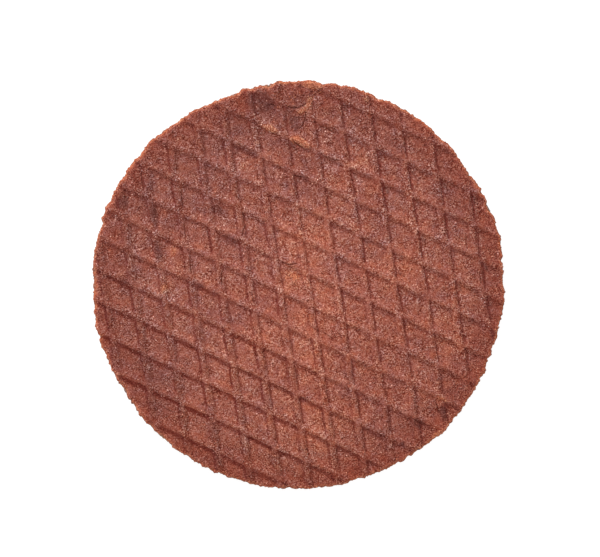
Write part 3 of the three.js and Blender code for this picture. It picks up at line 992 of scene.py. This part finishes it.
# Cracks, their gaps painted dark as shade. For each: middle in mm, direction in degrees, half length
# in mm, bend in 1/mm, how open it is, and how far the side on its left stands up, in mm.
cracks = [
    (-0.6, 38, 3, 2.8, 0.17, 1, 0.2),
    (-5.9, 38.7, 0, 1.3, -0.3, 0.9, 0.1),
    (1.1, 34.75, 64, 2.5, 0.13, 1, 0.12),
    (-9, 34.7, -8, 1.4, 0, 0.8, 0),
    (-2.5, 36.2, -88, 2, 0, 0.5, 0),
    (0, 30, -32, 1.6, 0, 0.9, 0.08),
    (0.4, 42.5, 95, 0.7, 0, 0.8, 0),
    (-0.3, 30.5, -18, 1.2, 0.1, 0.7, 0.1),
    (3.2, 34.9, -10, 1, 0, 0.7, 0.05),
    (-11.7, 14.6, -66, 1.1, 0, 0.7, 0),
    (-11.8, 11.6, -106, 2, 0.06, 0.8, 0.05),
    (-2.1, 4.3, -5, 2.1, 0.12, 0.8, 0.1),
    (-16.5, 1.2, -88, 1.9, 0, 0.9, 0),
    (-23.3, 4.7, -87, 2.7, 0.03, 0.75, 0),
    (-19.2, 9.8, -74, 2.4, 0.02, 0.7, 0),
    (-24.4, 11.5, -84, 1.9, -0.04, 0.7, 0),
    (-33.8, 22.8, -84, 2.9, 0.03, 0.7, 0),
    (-28.1, 29.2, -84, 2, 0, 0.6, 0),
    (-25.1, 18.4, -83, 2.4, 0.03, 0.6, 0),
    (-9.8, -2.8, -80, 1.7, 0, 0.7, 0),
    (6.3, 33.4, -25, 2.4, -0.06, 0.8, 0.08),
    (7.2, 26.9, -14, 2.5, 0.06, 0.7, 0.08),
    (0.6, 23.1, -8, 2.4, 0.05, 0.7, 0.06),
    (6.4, -11, -35, 1.9, 0, 0.6, 0.05),
    (3.6, -9.6, -30, 1.6, 0.04, 0.6, 0.05),
    (30, -26.6, -70, 1.6, 0, 0.8, 0),
    (25.4, -29.4, -32, 2, 0, 0.8, 0),
    (-28.3, -26.9, -30, 2.2, 0.04, 0.6, 0),
    (36.2, 9, -84, 2, 0, 0.6, 0),
    (39.2, 1.3, -84, 1.7, 0, 0.6, 0),
]


def turned(x, y, at_x, at_y, degrees):
    """How far along and aside of a direction through a place a point lies, in mm."""
    turn = np.radians(degrees)
    along = (x / mm - at_x) * np.cos(turn) + (y / mm - at_y) * np.sin(turn)
    return along, (y / mm - at_y) * np.cos(turn) - (x / mm - at_x) * np.sin(turn)


def scar_fields(x, y):
    """Toasting of the scars, each an oval bell curve, and their height in metres."""
    warmth, height = np.zeros_like(x), np.zeros_like(x)
    for at_x, at_y, long, wide, degrees, toasted, stands in scars:
        along, aside = turned(x, y, at_x, at_y, degrees)
        bell = np.exp(-(((along / long) ** 2 + (aside / wide) ** 2) ** 1.5))
        warmth, height = warmth + toasted * bell, height + stands * mm * bell
    return warmth, height


def crack_fields(x, y):
    """For the nearest crack: how far across it a point lies, in mm, and how open the crack is
    there, tapering to its ends; then the height of the raised sides in metres."""
    across, crack, height = np.full_like(x, 9.0), np.zeros_like(x), np.zeros_like(x)
    for at_x, at_y, degrees, half, bend, gape, lip in cracks:
        along, aside = turned(x, y, at_x, at_y, degrees)
        aside = aside - bend * along**2
        taper = 1 - smooth_step(0.5 * half, half, np.abs(along))
        here = gape * taper * (1 - smooth_step(0.6, 1.2, np.abs(aside)))
        across, crack = np.where(here > crack, aside, across), np.maximum(crack, here)
        raised = smooth_step(-0.15, 0.15, aside) * np.exp(-np.clip(aside, 0, None) / 1.1)
        height = height + mm * taper * (lip * raised - 0.12 * gape * np.exp(-((aside / 0.25) ** 2)))
    return across, crack, height


def torn_patch(x, y):
    """1 in the torn patch and 0 outside it: e to minus the fourth powers of the way out."""
    return np.exp(-(((x - torn_x) / torn_long) ** 4) - ((y - torn_y) / torn_wide) ** 4)


def upper_relief(x, y):
    """Height of the upper face against its ridge tops: the grid, lower near the cut, over a slow
    swell, with its scars and cracks. Where the crust is torn, flaky noise takes the grid's place."""
    height = grid_relief(*ridge_phases(x, y, upper_grid, upper_seed), x, y, upper_seed)
    torn = torn_patch(x, y)
    flakes = crumble(x, y, torn_flake_wide, 131, 3, 0.7)
    flakes = np.floor(2 * flakes) / 2 + 0.3 * flakes
    left = 1 - low_near_cut * smooth_step(low_from, cut_radius, np.hypot(x, y))
    swell = swell_high * (np.sin(x / swell_long + 1) + np.cos(y / swell_long - x / (2 * swell_long)))
    marred = scar_fields(x, y)[1] + crack_fields(x, y)[2]
    grid = height * left * (1 - torn_loss * torn)
    return grid + torn * (torn_flake_high * flakes - torn_sink) * mm + marred - ridge_high + swell


points, quads, fans, marks = wafer_half(
    upper_edge_places, 0, upper_low.z, upper_outer, upper_grid, upper_relief, upper_seed
)
x, y = points[:, 0], points[:, 1]

# The painted shade of the marks is deeper on some sides than on others. The backs and feet of the
# ridges are darkest at the near left, the left creases in the left half, the right creases from
# the middle to the right, and the shaded corners at the far right. All are weak in the torn patch.
# A mark has a depth that all of its kind share, and most have one that changes from stretch to
# stretch.
calm = 1 - 0.7 * torn_patch(x, y)
near_left = smooth_step(-5 * mm, 40 * mm, -0.7 * (x + y))
far_right = smooth_step(-15 * mm, 25 * mm, 0.5 * x + 0.86 * y)
leftward = 1 - 0.75 * smooth_step(-14 * mm, 18 * mm, x + 0.35 * y)
corner_depth, back_shade_depth = 0.37, 0.22
marks["corner"] = corner_depth * calm * (0.5 + marks["right"]) * far_right
marks["back_shade"] = back_shade_depth * near_left
marks["left"] = calm * (0.33 + 0.52 * marks["left"]) * leftward
marks["right"] = calm * (0.5 + 0.5 * marks["right"])
marks["fade"] = (
    0.05 + 0.85 * smooth_step(-34 * mm, -4 * mm, x)
    + 0.3 * smooth_step(0, 18 * mm, x) * smooth_step(-40 * mm, 10 * mm, y)
)
marks["foot"] = calm * (marks["foot"] - 0.3 + 1.5 * near_left)
marks["blush"] = smooth_step(-32 * mm, 45 * mm, x * np.cos(blush_turn) + y * np.sin(blush_turn))
marks["warmth"] = scar_fields(x, y)[0]
marks["across"], marks["crack"], _ = crack_fields(x, y)
upper_wafer = surface("upper_wafer", points, quads, fans, **marks)
upper_wafer.data.materials.append(crust_material("upper_crust"))
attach(upper_wafer, "root")
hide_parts("top_wafer")

# Crumbs cling along its rim and down the cut, and lie in the torn patch, round its middle in mm.
rim_crumb_count = 1000
torn_crumb_count = 90
crumbs_out = 0.12 * mm
crumbs_sunk = 0.03 * mm
draw = np.random.default_rng(upper_seed + 5)
angle = draw.uniform(-np.pi, np.pi, rim_crumb_count)
inset = draw.uniform(0, 0.9, rim_crumb_count) ** 2 * mm
radius = edge_radius(angle, upper_edge_places, upper_seed) - inset + crumbs_out
rim_x, rim_y = round_point(radius, angle)
x = np.concatenate([rim_x, draw.normal(0.4, 3.6, torn_crumb_count) * mm])
y = np.concatenate([rim_y, draw.normal(40.5, 1.6, torn_crumb_count) * mm])
drop = edge_round_deep * (1 - inset / edge_round_wide) ** 2
down_the_cut = np.where(inset < 0.1 * mm, draw.uniform(0, 1.5, rim_crumb_count) * mm, 0)
z = upper_outer + upper_relief(x, y) - crumbs_sunk
z[:rim_crumb_count] -= drop + down_the_cut
rim_tones = draw.uniform(0, 0.8, rim_crumb_count)
tones = np.concatenate([rim_tones, draw.uniform(0.1, 0.5, torn_crumb_count)])
sizes = draw.uniform(0.09, 0.24, len(x)) * mm
inside = np.hypot(x, y) < edge_radius(np.arctan2(y, x), upper_edge_places, upper_seed) + 0.14 * mm
upper_crumbs = loose_crumbs(
    "upper_crumbs", x[inside], y[inside], z[inside], sizes[inside], tones[inside], upper_seed + 6
)
upper_crumbs.data.materials.append(crumb_material("upper_crumb_inside"))
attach(upper_crumbs, "root")

# ======================================================================
# Table, lights and camera. A table of opal sheet that is lit from below, so the shadow stays
# pale, a soft key light from the far left, and a camera that looks straight down.

table_half = 4.0
table_glow = 0.93
sky_strength = 0.5
table_mesh = bpy.data.meshes.new("table")
table_corners = [(table_half * x, table_half * y, 0) for x, y in ((-1, -1), (1, -1), (1, 1), (-1, 1))]
table_mesh.from_pydata(table_corners, [], [(0, 1, 2, 3)])
table = in_scene("table", table_mesh)
table_paint = bpy.data.materials.new("table_opal")
table_paint.use_nodes = True
table_skin = table_paint.node_tree.nodes["Principled BSDF"]
for socket, value in (
    ("Base Color", (0.2, 0.2, 0.2, 1)), ("Roughness", 0.9),
    ("Emission Color", (1, 1, 1, 1)), ("Emission Strength", table_glow),
):
    table_skin.inputs[socket].default_value = value
table_mesh.materials.append(table_paint)


# The key light: its way round from +X, its elevation, and its distance, size and power.
key_turn, key_rise = np.radians(118), np.radians(42)
key_far, key_size, key_power = 2.0, 0.62, 34.2
lamp = bpy.data.lights.new("key", "AREA")
lamp.size, lamp.energy = key_size, key_power
key = in_scene("key", lamp)
key.location = (*round_point(key_far * np.cos(key_rise), key_turn), key_far * np.sin(key_rise))
key.rotation_euler = key.location.to_track_quat("Z", "Y").to_euler()

world = bpy.data.worlds.new("studio")
world.use_nodes = True
world.node_tree.nodes["Background"].inputs["Color"].default_value = (1, 1, 1, 1)
world.node_tree.nodes["Background"].inputs["Strength"].default_value = sky_strength
bpy.context.scene.world = world

# The view's width at the biscuit's face, and its middle, which is a little off the biscuit's.
view_wide = 129.1 * mm
view_x, view_y = 0.32 * mm, 1.29 * mm
camera_high = 0.6
camera_data = bpy.data.cameras.new("camera")
camera_data.sensor_width = 36
camera_data.lens = camera_data.sensor_width * camera_high / view_wide
camera_data.clip_start = 0.01
camera = in_scene("camera", camera_data)
camera.location = (view_x, view_y, camera_high + upper_outer)
bpy.context.scene.camera = camera
bpy.context.scene.view_settings.view_transform = "Standard"
